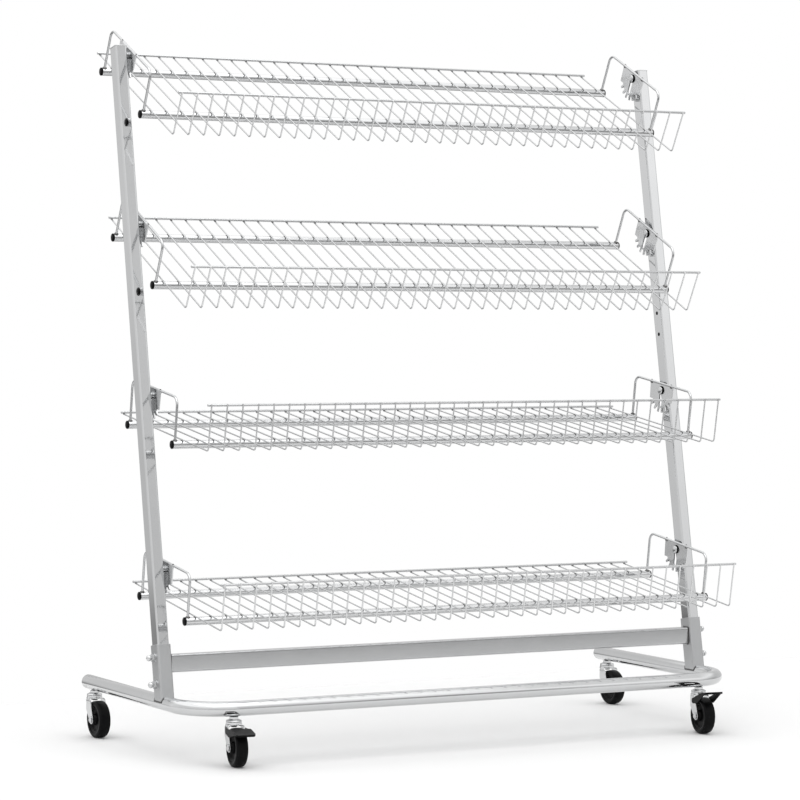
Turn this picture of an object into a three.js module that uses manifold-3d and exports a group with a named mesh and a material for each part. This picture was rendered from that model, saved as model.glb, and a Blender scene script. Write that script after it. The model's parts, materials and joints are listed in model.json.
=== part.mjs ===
// Mobile bread rack: a bent tube base on four castors, two leaning posts and
// four wire shelves that hang on studs and turn to a new slope.
// Millimetres, +X to the right of someone facing the front, +Y to the back, +Z up.

import * as THREE from "three";
import { mergeVertices } from "three/addons/utils/BufferGeometryUtils.js";
import Module from "manifold-3d";

const wasm = await Module();
wasm.setup();

// Clearances
const seatGap = 0.3;          // between pieces that rest on each other
const turnGap = 0.4;          // between pieces that turn past each other
const sleeveFit = 0.5;        // post inside its sleeve, each side

// Shelf tubes and the wires on them
const shelfTubeLength = 1196;
const shelfTubeDiameter = 16;
const shelfTubeWall = 1.2;
const shelfTubeSpacing = 220; // rear tube axis to front tube axis
const wireDiameter = 3;
const wirePitch = 33;
const wireEndMargin = 20.5;   // tube end to the outermost cross wire
const rearReach = 69;         // rear tube axis to the rail wire
const frontReach = 121;       // front tube axis to the lip
const railDiameter = 5;
const railOverhang = 7;       // rail and lip wires past the outermost cross wire
const lipHeight = 89;         // floor wires to the lip wire
const lipLean = 2;            // degrees, outwards

// End loops and their finger plates
const loopDiameter = 5;
const loopInset = 5;          // tube end to the loop
const loopHeight = 92;        // tube axis to the top of the loop
const loopBendRadius = 14;
const plateLap = 1.5;         // how far the plate's inner face lies outside the loop axis
const plateThickness = 2.5;
const plateLength = 87;
const plateShoulder = 22;     // pivot down to the plate's lower corners
const plateCornerInset = 2;
const plateRadius = 38;
const pivotBelowLoop = 15;
const pivotFromRearTube = 101.5;
const fingerCount = 6;
const fingerPitch = 18;       // degrees, one step of slope
const fingerTipRadius = 48;
const fingerWidth = 4.5;
const slotWidth = 10;
const slotLength = 30;

// Posts, sleeves, cross beam and their bolts
const postGap = 4;            // shelf tube end to the inner face of a post
const postWidth = 24;
const postDepth = 30;
const postWall = 1.5;
const postCorner = 3;
const postLean = 10.5;        // degrees, backwards
const postFootDistance = 138; // front rail axis to post axis, at base tube height
const postHeadroom = 17;      // highest shelf pivot to the top of a post
const postCapThickness = 4;
const postFootGap = 6;        // base tube to the lower end of a post
const sleeveWall = 2;
const sleeveHeight = 113;
const sleeveCorner = 4;
const beamHeight = 35;
const beamDepth = 20;
const beamWall = 1.5;
const beamCorner = 3;
const beamLevel = 75;         // base tube axis to the middle of the beam
const boltLevels = { lower: 36, upper: 88 };
const boltDiameter = 8;
const washerDiameter = 18;
const washerThickness = 1.6;
const nutWidth = 13;
const nutHeight = 6.5;
const boltNeck = 2.5;         // nut to the domed end
const domeDiameter = 12.4;
const domeLength = 6.8;
const boltReach = 7;          // past the inner side of the post wall
const firstShelf = 260;       // along the post, to the lowest shelf pivot
const shelfSpacing = 343;
const shelfSlopes = [8, 8, 26, 26];
const studDiameter = 8;
const studShoulderDiameter = 16;
const studHeadDiameter = 19;
const studHeadHeight = 5;
const pegDiameter = 9;
const pegDrop = 46;           // shelf pivot down to the lock peg
const spareDrop = 175;        // third shelf pivot down to the spare pair of holes
const spareHoleDiameter = 8;

// Base
const baseTubeDiameter = 29;
const baseTubeWall = 1.5;
const baseBendRadius = 90;
const baseLegLength = 528;    // front rail axis to the rear ends
const frontCastorInset = 83;  // leg axis to the front castors
const rearCastorInset = 39;   // rear end to the rear castors

// Castors
const castorHeight = 94;      // floor to the underside of the base tube
const wheelDiameter = 75;
const wheelWidth = 24;
const tyreShoulder = 6;
const rimDiameter = 56;
const rimRecess = 3;
const hubDiameter = 22;
const hubLength = 28.2;
const axleDiameter = 8;
const axleHeadDiameter = 14;
const axleHeadHeight = 3.5;
const wheelTrail = 22;        // swivel axis to wheel axis, towards the front
const forkPlate = 2.5;
const forkHeadroom = 2.5;     // wheel to the underside of the fork crown
const forkFront = 15;
const forkRear = 4;
const forkDiscRim = 1;        // of the round crown, beyond the race
const forkRearDrop = 24;      // straight part of the rear edge of an arm
const forkFootRadius = 9;
const raceDiameter = 31;
const raceHeight = 4;
const capNeckDiameter = 20;
const capHeight = 4.5;
const nutDiameter = 19;
const kingPinDiameter = 8;
const kingPinHeadDiameter = 13;
const kingPinHeadHeight = 3;

// Brake pedals on the front castors
const pedalPivotY = -14;
const pedalPivotZ = 68;
const pedalEarRadius = 6;
const pedalPlate = 4;
const pedalCheek = 2;
const pedalRear = -42;        // rear edge of the plate
const pedalTip = -80;
const pedalTipWidth = 26;
const pedalTipLength = 8;
const pedalUnderside = 82.5;  // above the floor, at the plate's rear edge, with the brake off
const pedalRise = 9;          // degrees, with the brake off
const pedalTravel = 20;       // degrees
const pedalHeelY = -32;       // lowest corner of a cheek
const pedalHeelZ = 64;
const frontCastorTurn = -8;   // degrees about the swivel axis

// Facets
const roundSides = 12;
const smallSides = 8;
const wheelSides = 16;
const bendSteps = 6;
const wireBendSteps = 2;
const weldTolerance = 1e-4;

// Sizes worked out from the above
const rad = THREE.MathUtils.degToRad;
const tubeHalf = shelfTubeLength / 2;
const postInner = tubeHalf + postGap;
const postAxisX = postInner + postWidth / 2;
const baseRadius = baseTubeDiameter / 2;
const baseAxisZ = castorHeight + baseRadius;
const loopX = tubeHalf - loopInset;
const plateInner = loopX + plateLap;
const plateOuter = plateInner + plateThickness;
const pivotHeight = loopHeight - pivotBelowLoop;
const sleeveWidth = postWidth + 2 * (sleeveFit + sleeveWall);
const sleeveDepth = postDepth + 2 * (sleeveFit + sleeveWall);
const wheelRadius = wheelDiameter / 2;
const forkInner = hubLength / 2 + turnGap;
const forkOuter = forkInner + forkPlate;
const crownBottom = wheelDiameter + forkHeadroom;
const crownTop = crownBottom + forkPlate;
const raceTop = crownTop + raceHeight;
const shelfLevels = shelfSlopes.map((slope, i) => firstShelf + i * shelfSpacing);
const postTop = shelfLevels.at(-1) + postHeadroom;

// Materials
const chrome = new THREE.MeshStandardMaterial({ color: 0xd9dbdd, roughness: 0.12, metalness: 1 });
const brightWire = new THREE.MeshStandardMaterial({ color: 0xcfd1d3, roughness: 0.28, metalness: 1 });
const platedSteel = new THREE.MeshStandardMaterial({ color: 0xbfc1c3, roughness: 0.32, metalness: 1 });
const blackRubber = new THREE.MeshStandardMaterial({ color: 0x191919, roughness: 0.7, metalness: 0 });
const blackPlastic = new THREE.MeshStandardMaterial({ color: 0x121212, roughness: 0.45, metalness: 0 });

// A path of straight runs joined by round bends, with one point at each end of a
// run and a few around each bend.
class BentPath extends THREE.Curve {
  constructor(corners, radius, steps) {
    super();
    this.points = [corners[0]];
    this.tangents = [corners[1].clone().sub(corners[0]).normalize()];
    for (let i = 1; i < corners.length - 1; i += 1) {
      this.addBend(corners[i - 1], corners[i], corners[i + 1], radius, steps);
    }
    this.points.push(corners.at(-1));
    this.tangents.push(corners.at(-1).clone().sub(corners.at(-2)).normalize());
  }

  addBend(before, corner, after, radius, steps) {
    const inward = corner.clone().sub(before).normalize();
    const outward = after.clone().sub(corner).normalize();
    const turn = inward.angleTo(outward);
    const setback = radius * Math.tan(turn / 2);
    const side = outward.clone().addScaledVector(inward, -Math.cos(turn)).normalize();
    const start = corner.clone().addScaledVector(inward, -setback);
    for (let k = 0; k <= steps; k += 1) {
      const angle = turn * k / steps;
      const point = start.clone().addScaledVector(inward, radius * Math.sin(angle));
      this.points.push(point.addScaledVector(side, radius * (1 - Math.cos(angle))));
      const tangent = inward.clone().multiplyScalar(Math.cos(angle));
      this.tangents.push(tangent.addScaledVector(side, Math.sin(angle)));
    }
  }

  get steps() {
    return this.points.length - 1;
  }

  getPointAt(u, target = new THREE.Vector3()) {
    return target.copy(this.points[Math.round(u * this.steps)]);
  }

  getTangentAt(u, target = new THREE.Vector3()) {
    return target.copy(this.tangents[Math.round(u * this.steps)]);
  }
}

// Joining and cutting closed shapes
function solidOf(geometry) {
  const bare = geometry.clone();
  bare.deleteAttribute("normal");
  bare.deleteAttribute("uv");
  const merged = mergeVertices(bare, weldTolerance);
  const vertProperties = Float32Array.from(merged.attributes.position.array);
  const triVerts = Uint32Array.from(merged.index.array);
  return new wasm.Manifold(new wasm.Mesh({ numProp: 3, vertProperties, triVerts }));
}

function geometryOf(solid) {
  const { vertProperties, triVerts } = solid.getMesh();
  const geometry = new THREE.BufferGeometry();
  geometry.setAttribute("position", new THREE.BufferAttribute(vertProperties, 3));
  geometry.setIndex(new THREE.BufferAttribute(triVerts, 1));
  geometry.computeVertexNormals();
  return geometry;
}

function join(...pieces) {
  return geometryOf(pieces.map(solidOf).reduce((whole, piece) => whole.add(piece)));
}

function cut(piece, ...tools) {
  return geometryOf(tools.map(solidOf).reduce((whole, tool) => whole.subtract(tool), solidOf(piece)));
}

// Outlines
function circle(diameter) {
  return new THREE.Shape().absarc(0, 0, diameter / 2, 0, 2 * Math.PI);
}

function ring(diameter, wall) {
  const outline = circle(diameter);
  outline.holes.push(circle(diameter - 2 * wall));
  return outline;
}

function rounded(width, depth, corner) {
  const x = width / 2 - corner;
  const y = depth / 2 - corner;
  const outline = new THREE.Shape();
  outline.absarc(x, y, corner, 0, Math.PI / 2);
  outline.absarc(-x, y, corner, Math.PI / 2, Math.PI);
  outline.absarc(-x, -y, corner, Math.PI, 1.5 * Math.PI);
  outline.absarc(x, -y, corner, 1.5 * Math.PI, 2 * Math.PI);
  return outline;
}

function outlineOf(points) {
  return new THREE.Shape(points.map(([x, y]) => new THREE.Vector2(x, y)));
}

// Extrusions: along Z from a level, or along X with the outline's axes on Y and Z
function extrudeUp(outline, from, to, curveSegments = 1) {
  const settings = { depth: to - from, bevelEnabled: false, curveSegments };
  const geometry = new THREE.ExtrudeGeometry(outline, settings);
  return geometry.translate(0, 0, from);
}

function extrudeAcross(outline, from, to, curveSegments = 1) {
  const axes = [new THREE.Vector3(0, 1, 0), new THREE.Vector3(0, 0, 1), new THREE.Vector3(1, 0, 0)];
  const settings = { depth: to - from, bevelEnabled: false, curveSegments };
  const geometry = new THREE.ExtrudeGeometry(outline, settings);
  return geometry.applyMatrix4(new THREE.Matrix4().makeBasis(...axes)).translate(from, 0, 0);
}

function sweep(outline, path, curveSegments) {
  return new THREE.ExtrudeGeometry(outline, { steps: path.steps, extrudePath: path, curveSegments });
}

// A turned piece: profile rows are [radius, distance along the axis]
function turned(rows, sides) {
  return new THREE.LatheGeometry(rows.map(([r, z]) => new THREE.Vector2(r, z)), sides);
}

function turnedUp(rows, sides) {
  return turned(rows, sides).rotateX(Math.PI / 2);
}

function turnedAcross(rows, sides, side) {
  return turned(rows, sides).rotateZ(-side * Math.PI / 2);
}

function rodAcross(diameter, from, to, sides) {
  const rod = new THREE.CylinderGeometry(diameter / 2, diameter / 2, to - from, sides);
  return rod.rotateZ(Math.PI / 2).translate((from + to) / 2, 0, 0);
}

function piece(parent, name, geometry, material) {
  const mesh = new THREE.Mesh(geometry, material);
  mesh.name = name;
  parent.add(mesh);
  return mesh;
}

const sides = [["left", -1], ["right", 1]];
const rack = new THREE.Group();

// Base tube: one tube bent to a U, open to the back
function addBaseTube() {
  const corners = [
    new THREE.Vector3(-postAxisX, baseLegLength, baseAxisZ),
    new THREE.Vector3(-postAxisX, 0, baseAxisZ),
    new THREE.Vector3(postAxisX, 0, baseAxisZ),
    new THREE.Vector3(postAxisX, baseLegLength, baseAxisZ),
  ];
  const path = new BentPath(corners, baseBendRadius, bendSteps);
  piece(rack, "base_tube", sweep(ring(baseTubeDiameter, baseTubeWall), path, roundSides / 2), chrome);
}

// Leaning frame: its Z axis runs up along the posts from base tube height
const uprights = new THREE.Group();
uprights.position.set(0, postFootDistance, baseAxisZ);
uprights.rotation.x = -rad(postLean);
rack.add(uprights);

function boltHoles(side, x) {
  return Object.values(boltLevels).map((level) => {
    const reach = postWidth / 2;
    const hole = rodAcross(boltDiameter + 2 * turnGap, -reach, reach, smallSides);
    return hole.translate(x + side * reach, 0, level);
  });
}

function addPost(label, side) {
  const foot = baseRadius + postFootGap;
  const outer = extrudeUp(rounded(postWidth, postDepth, postCorner), foot, postTop);
  const bore = rounded(postWidth - 2 * postWall, postDepth - 2 * postWall, postCorner - postWall);
  const inner = extrudeUp(bore, foot - 1, postTop - postCapThickness);
  const hollow = cut(outer, inner).translate(side * postAxisX, 0, 0);
  const spareLevel = shelfLevels[2] - spareDrop;
  const spares = [spareLevel, spareLevel - pegDrop].map((level) => {
    const hole = rodAcross(spareHoleDiameter, -postWall, postWall, smallSides);
    return hole.translate(side * (postInner + postWall / 2), 0, level);
  });
  const drilled = cut(hollow, ...boltHoles(side, side * postAxisX), ...spares);
  const pegFree = side * (plateOuter + turnGap);
  const pegRoot = side * (postInner + postWall / 2);
  const pegStart = Math.min(pegFree, pegRoot);
  const pegEnd = Math.max(pegFree, pegRoot);
  const pegs = shelfLevels.map((level) => {
    return rodAcross(pegDiameter, pegStart, pegEnd, smallSides).translate(0, 0, level - pegDrop);
  });
  piece(uprights, `post_${label}`, join(drilled, ...pegs), chrome);
}

function addSleeve(label, side) {
  const foot = sleeveDepth * Math.tan(rad(postLean));
  const outer = extrudeUp(rounded(sleeveWidth, sleeveDepth, sleeveCorner), foot, sleeveHeight);
  const boreWidth = sleeveWidth - 2 * sleeveWall;
  const boreDepth = sleeveDepth - 2 * sleeveWall;
  const bore = rounded(boreWidth, boreDepth, sleeveCorner - sleeveWall);
  const inner = extrudeUp(bore, -1, sleeveHeight + 1);
  const reach = sleeveDepth;
  const saddleRadius = baseRadius + seatGap;
  const saddle = new THREE.CylinderGeometry(saddleRadius, saddleRadius, 2 * reach, roundSides * 2);
  saddle.rotateX(rad(postLean));
  const coped = cut(outer, inner, saddle).translate(side * postAxisX, 0, 0);
  piece(uprights, `sleeve_${label}`, cut(coped, ...boltHoles(side, side * postAxisX)), chrome);
}

function addBolt(label, side, levelName) {
  const seat = sleeveWidth / 2 + seatGap;
  const washer = rodAcross(washerDiameter, seat, seat + washerThickness, roundSides);
  const nutEnd = seat + washerThickness + nutHeight;
  const nut = rodAcross(nutWidth / Math.cos(Math.PI / 6), seat, nutEnd, 6);
  const domeStart = nutEnd + boltNeck;
  const dome = turnedAcross([
    [0, domeStart],
    [domeDiameter / 2, domeStart],
    [domeDiameter / 2, domeStart + domeLength / 3],
    [domeDiameter / 4, domeStart + domeLength],
    [0, domeStart + domeLength],
  ], smallSides, 1);
  const shankEnd = postWidth / 2 - postWall - boltReach;
  const shank = rodAcross(boltDiameter, shankEnd, domeStart + domeLength / 3, smallSides);
  const bolt = join(washer, nut, dome, shank);
  const mesh = piece(uprights, `sleeve_bolt_${label}_${levelName}`, bolt, platedSteel);
  mesh.position.set(side * postAxisX, 0, boltLevels[levelName]);
  mesh.rotation.z = side > 0 ? 0 : Math.PI;
}

function addStud(label, side, tier) {
  const shoulder = postInner - plateOuter - turnGap;
  const neck = shoulder + plateThickness + 2 * turnGap;
  const profile = [
    [0, -seatGap - neck - studHeadHeight],
    [studHeadDiameter / 3, -seatGap - neck - studHeadHeight],
    [studHeadDiameter / 2, -seatGap - neck - studHeadHeight / 2],
    [studHeadDiameter / 2, -seatGap - neck],
    [studDiameter / 2, -seatGap - neck],
    [studDiameter / 2, -seatGap - shoulder],
    [studShoulderDiameter / 2, -seatGap - shoulder],
    [studShoulderDiameter / 2, -seatGap],
    [0, -seatGap],
  ];
  const geometry = turnedAcross(profile, smallSides, side);
  const stud = piece(uprights, `shelf_${tier + 1}_stud_${label}`, geometry, chrome);
  stud.position.set(side * postInner, 0, shelfLevels[tier]);
}

// Cross beam: upright rectangular tube between the sleeves
function addCrossBeam() {
  const outline = rounded(beamDepth, beamHeight, beamCorner);
  outline.holes.push(rounded(beamDepth - 2 * beamWall, beamHeight - 2 * beamWall, beamCorner - beamWall));
  const reach = postAxisX - sleeveWidth / 2 - seatGap;
  const beam = piece(rack, "cross_beam", extrudeAcross(outline, -reach, reach), chrome);
  beam.position.set(0, postFootDistance + beamLevel * Math.tan(rad(postLean)), baseAxisZ + beamLevel);
}

// Shelf wires: a flat comb, its teeth starting on a rail wire
function comb(length, tooth) {
  const span = shelfTubeLength - 2 * wireEndMargin;
  const gaps = Math.floor(span / wirePitch + weldTolerance);
  const first = -gaps * wirePitch / 2;
  const railEnd = gaps * wirePitch / 2 + railOverhang;
  const points = [[railEnd, 0], [railEnd, -railDiameter], [-railEnd, -railDiameter], [-railEnd, 0]];
  for (let i = 0; i <= gaps; i += 1) {
    const x = first + i * wirePitch;
    points.push([x - tooth / 2, 0], [x - tooth / 2, length], [x + tooth / 2, length], [x + tooth / 2, 0]);
  }
  return outlineOf(points);
}

function addShelfFloor(shelf, name) {
  const length = rearReach + shelfTubeSpacing + frontReach + wireDiameter / 2 - railDiameter / 2;
  const geometry = extrudeUp(comb(length, wireDiameter), 0, wireDiameter).rotateZ(Math.PI);
  const floor = piece(shelf, `${name}_floor_wires`, geometry, brightWire);
  const rearEnd = pivotFromRearTube + rearReach - railDiameter / 2;
  floor.position.set(0, rearEnd, shelfTubeDiameter / 2 + seatGap - pivotHeight);
}

function addShelfLip(shelf, name) {
  const top = lipHeight - railDiameter / 2;
  const bottom = wireDiameter / 2 + seatGap;
  const geometry = extrudeUp(comb(top - bottom, wireDiameter), -wireDiameter / 2, wireDiameter / 2);
  geometry.rotateX(-Math.PI / 2).translate(0, 0, top).rotateX(rad(lipLean));
  const lip = piece(shelf, `${name}_lip_wires`, geometry, brightWire);
  const front = pivotFromRearTube - shelfTubeSpacing - frontReach;
  const floorAxis = shelfTubeDiameter / 2 + seatGap + wireDiameter / 2 - pivotHeight;
  lip.position.set(0, front, floorAxis);
}

function addShelfTube(shelf, name, y) {
  const tube = extrudeAcross(ring(shelfTubeDiameter, shelfTubeWall), -tubeHalf, tubeHalf, roundSides / 2);
  piece(shelf, name, tube, chrome).position.set(0, y, -pivotHeight);
}

function fingerPlate() {
  const half = plateLength / 2;
  const at = (radius, angle) => [radius * Math.sin(rad(angle)), -radius * Math.cos(rad(angle))];
  const reach = (fingerCount - 1) * fingerPitch / 2;
  const edge = reach + fingerPitch / 2;
  const corner = [-half + plateCornerInset, -plateShoulder];
  const points = [[-half, pivotBelowLoop], corner, at(plateRadius, -edge)];
  for (let k = 0; k < fingerCount; k += 1) {
    const angle = k * fingerPitch - reach;
    const rootHalf = THREE.MathUtils.radToDeg(Math.asin(fingerWidth / 2 / plateRadius));
    const tipHalf = THREE.MathUtils.radToDeg(Math.asin(fingerWidth / 2 / fingerTipRadius));
    points.push(at(plateRadius, angle - rootHalf), at(fingerTipRadius, angle - tipHalf));
    points.push(at(fingerTipRadius, angle + tipHalf), at(plateRadius, angle + rootHalf));
  }
  points.push(at(plateRadius, edge), [half - plateCornerInset, -plateShoulder], [half, pivotBelowLoop]);
  const outline = outlineOf(points);
  const slot = new THREE.Path().absarc(0, 0, slotWidth / 2, 0, Math.PI);
  slot.absarc(0, -slotLength, slotWidth / 2, Math.PI, 2 * Math.PI);
  outline.holes.push(slot);
  return outline;
}

function addShelfEnd(shelf, name, side) {
  const foot = shelfTubeDiameter / 2 + seatGap - pivotHeight;
  const rear = pivotFromRearTube;
  const front = pivotFromRearTube - shelfTubeSpacing;
  const corners = [
    new THREE.Vector3(side * loopX, rear, foot),
    new THREE.Vector3(side * loopX, rear, pivotBelowLoop),
    new THREE.Vector3(side * loopX, front, pivotBelowLoop),
    new THREE.Vector3(side * loopX, front, foot),
  ];
  const loop = sweep(circle(loopDiameter), new BentPath(corners, loopBendRadius, wireBendSteps), 3);
  const from = Math.min(side * plateInner, side * plateOuter);
  const plate = extrudeAcross(fingerPlate(), from, from + plateThickness, 3);
  piece(shelf, name, join(loop, plate), platedSteel);
}

function addShelf(tier) {
  const name = `shelf_${tier + 1}`;
  const shelf = new THREE.Group();
  shelf.position.set(0, 0, shelfLevels[tier]);
  shelf.rotation.x = rad(postLean + shelfSlopes[tier]);
  uprights.add(shelf);
  addShelfFloor(shelf, name);
  addShelfLip(shelf, name);
  addShelfTube(shelf, `${name}_rear_tube`, pivotFromRearTube);
  addShelfTube(shelf, `${name}_front_tube`, pivotFromRearTube - shelfTubeSpacing);
  for (const [label, side] of sides) {
    addShelfEnd(shelf, `${name}_end_${label}`, side);
    addStud(label, side, tier);
  }
}

// Castor pieces, about the swivel axis at floor level
function castorStem() {
  const capFoot = raceTop + turnGap;
  const nutFoot = capFoot + capHeight;
  const headTop = crownBottom - turnGap;
  return turnedUp([
    [0, headTop - kingPinHeadHeight],
    [kingPinHeadDiameter / 2, headTop - kingPinHeadHeight],
    [kingPinHeadDiameter / 2, headTop],
    [kingPinDiameter / 2, headTop],
    [kingPinDiameter / 2, capFoot],
    [raceDiameter / 2, capFoot],
    [capNeckDiameter / 2, nutFoot],
    [nutDiameter / 2, nutFoot],
    [nutDiameter / 2, castorHeight - seatGap],
    [0, castorHeight - seatGap],
  ], smallSides);
}

function castorFork() {
  const arm = new THREE.Shape();
  arm.moveTo(forkRear, crownTop);
  arm.lineTo(-forkFront, crownTop);
  arm.absarc(-wheelTrail, wheelRadius, forkFootRadius, Math.PI, 1.75 * Math.PI);
  arm.lineTo(forkRear, crownTop - forkRearDrop);
  const arms = [-forkOuter, forkInner].map((x) => extrudeAcross(arm, x, x + forkPlate, 3));
  const length = forkFront + forkRear;
  const bridge = new THREE.BoxGeometry(2 * forkOuter, length, forkPlate);
  bridge.translate(0, (forkRear - forkFront) / 2, (crownBottom + crownTop) / 2);
  const discRadius = raceDiameter / 2 + forkDiscRim;
  const disc = new THREE.CylinderGeometry(discRadius, discRadius, forkPlate, roundSides);
  disc.rotateX(Math.PI / 2).translate(0, 0, (crownBottom + crownTop) / 2);
  const raceRadius = raceDiameter / 2;
  const raceDepth = raceHeight + forkPlate / 2;
  const race = new THREE.CylinderGeometry(raceRadius, raceRadius, raceDepth, roundSides);
  race.rotateX(Math.PI / 2).translate(0, 0, raceTop - raceDepth / 2);
  const boreRadius = kingPinDiameter / 2 + turnGap;
  const bore = new THREE.CylinderGeometry(boreRadius, boreRadius, raceTop, 8);
  bore.rotateX(Math.PI / 2).translate(0, 0, raceTop);
  const axleHole = rodAcross(axleDiameter + 2 * turnGap, -2 * forkOuter, 2 * forkOuter, smallSides);
  axleHole.translate(0, -wheelTrail, wheelRadius);
  return cut(join(...arms, bridge, disc, race), bore, axleHole);
}

// The tyre stands on a flat of its faceted tread
function castorWheel() {
  const tread = wheelRadius / Math.cos(Math.PI / wheelSides);
  const half = wheelWidth / 2;
  const hub = hubLength / 2;
  const bore = axleDiameter / 2 + turnGap;
  const rows = [
    [bore, -hub],
    [hubDiameter / 2, -hub],
    [rimDiameter / 2, rimRecess - half],
    [tread - tyreShoulder, -half],
    [tread, tyreShoulder - half],
    [tread, half - tyreShoulder],
    [tread - tyreShoulder, half],
    [rimDiameter / 2, half - rimRecess],
    [hubDiameter / 2, hub],
    [bore, hub],
    [bore, -hub],
  ];
  return turnedAcross(rows, wheelSides, 1).rotateX(Math.PI / wheelSides);
}

function castorAxle() {
  const inside = forkOuter + turnGap;
  const outside = inside + axleHeadHeight;
  return turnedAcross([
    [0, -outside],
    [axleHeadDiameter / 2, -outside],
    [axleHeadDiameter / 2, -inside],
    [axleDiameter / 2, -inside],
    [axleDiameter / 2, inside],
    [axleHeadDiameter / 2, inside],
    [axleHeadDiameter / 2, outside],
    [0, outside],
  ], smallSides, 1);
}

// Brake pedal: a rising plate over the wheel, with a tapering cheek outside each fork arm
function brakePedal() {
  const cheekInner = forkOuter + turnGap;
  const half = cheekInner + pedalCheek;
  const tipHalf = pedalTipWidth / 2;
  const cheekEnd = pedalTip + pedalTipLength;
  const rise = Math.tan(rad(pedalRise));
  const underside = (y) => pedalUnderside + (pedalRear - y) * rise;
  const middle = (y) => underside(y) + pedalPlate / 2;
  const outline = outlineOf([
    [half, 0], [-half, 0], [-half, cheekEnd - pedalRear], [-tipHalf, pedalTip - pedalRear],
    [tipHalf, pedalTip - pedalRear], [half, cheekEnd - pedalRear],
  ]);
  const plate = extrudeUp(outline, 0, pedalPlate);
  plate.rotateX(-rad(pedalRise)).translate(0, pedalRear, pedalUnderside);
  const cheek = new THREE.Shape();
  cheek.absarc(pedalPivotY, pedalPivotZ, pedalEarRadius, -Math.PI / 2, Math.PI / 4);
  cheek.lineTo(pedalRear, middle(pedalRear));
  cheek.lineTo(cheekEnd, middle(cheekEnd));
  cheek.lineTo(pedalHeelY, pedalHeelZ);
  const cheeks = [-half, cheekInner].map((x) => extrudeAcross(cheek, x, x + pedalCheek, 3));
  return join(plate, ...cheeks).translate(0, -pedalPivotY, -pedalPivotZ);
}

function addCastor(label, x, y) {
  const swivel = new THREE.Group();
  swivel.position.set(x, y, 0);
  rack.add(swivel);
  piece(swivel, `castor_${label}_stem`, castorStem(), chrome);
  piece(swivel, `castor_${label}_fork`, castorFork(), chrome);
  const wheel = piece(swivel, `castor_${label}_wheel`, castorWheel(), blackRubber);
  const axle = piece(swivel, `castor_${label}_axle`, castorAxle(), platedSteel);
  wheel.position.set(0, -wheelTrail, wheelRadius);
  axle.position.set(0, -wheelTrail, wheelRadius);
  return swivel;
}

function addPedal(swivel, label, pressed) {
  const pedal = piece(swivel, `brake_pedal_${label}`, brakePedal(), blackPlastic);
  pedal.position.set(0, pedalPivotY, pedalPivotZ);
  pedal.rotation.x = rad(pressed ? pedalTravel : 0);
}

addBaseTube();
addCrossBeam();
for (const [label, side] of sides) {
  addSleeve(label, side);
  addPost(label, side);
  addBolt(label, side, "lower");
  addBolt(label, side, "upper");
}
shelfSlopes.forEach((slope, tier) => addShelf(tier));
for (const [label, side] of sides) {
  const front = addCastor(`front_${label}`, side * (postAxisX - frontCastorInset), 0);
  front.rotation.z = rad(frontCastorTurn);
  addPedal(front, label, label === "left");
  addCastor(`rear_${label}`, side * postAxisX, baseLegLength - rearCastorInset);
}

// The origin is on the floor, under the middle of the rack
const extent = new THREE.Box3().setFromObject(rack, true);
rack.position.y = -(extent.min.y + extent.max.y) / 2;
rack.updateMatrixWorld(true);

export default rack;
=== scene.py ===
import json
import math

import bpy
import numpy as np
from mathutils import Matrix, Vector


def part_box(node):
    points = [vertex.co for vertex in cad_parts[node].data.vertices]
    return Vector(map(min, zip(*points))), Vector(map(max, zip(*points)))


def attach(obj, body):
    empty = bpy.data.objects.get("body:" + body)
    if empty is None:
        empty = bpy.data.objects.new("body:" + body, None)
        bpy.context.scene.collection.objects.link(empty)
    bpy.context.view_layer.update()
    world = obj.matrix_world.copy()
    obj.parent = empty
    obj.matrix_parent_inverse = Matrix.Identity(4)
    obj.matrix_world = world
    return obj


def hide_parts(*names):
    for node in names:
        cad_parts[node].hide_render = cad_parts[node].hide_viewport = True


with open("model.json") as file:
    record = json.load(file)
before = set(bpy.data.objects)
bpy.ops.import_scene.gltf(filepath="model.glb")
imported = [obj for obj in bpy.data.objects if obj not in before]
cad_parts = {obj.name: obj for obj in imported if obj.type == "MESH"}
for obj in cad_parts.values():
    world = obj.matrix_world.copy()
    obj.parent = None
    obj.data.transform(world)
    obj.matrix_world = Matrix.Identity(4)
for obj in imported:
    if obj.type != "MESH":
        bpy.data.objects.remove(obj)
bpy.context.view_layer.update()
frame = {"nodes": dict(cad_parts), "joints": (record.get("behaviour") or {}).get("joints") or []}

tiers = (1, 2, 3, 4)
sideSigns = {"left": -1, "right": 1}
castorNames = ("front_left", "front_right", "rear_left", "rear_right")
jointPlace = {j["name"]: np.array(j["pos_m"], float) for j in frame["joints"]}
jointAxis = {j["name"]: np.array(j["axis"], float) for j in frame["joints"]}
xAxis, yAxis, zAxis = np.eye(3)
print("frame loaded:", len(frame["nodes"]), "nodes")


def unit(vector):
    return vector / np.linalg.norm(vector, axis=-1, keepdims=True)


# Camera, fitted to the photo: turned to the right, tipped down a little; metres and degrees
viewer = {"lens": 139.765, "sensor": 36, "sight": 60, "yaw": 28.2408, "pitch": 1.7408, "roll": 0.3086,
          "place": (-3.05121, -5.59297, 0.87999)}


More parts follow.
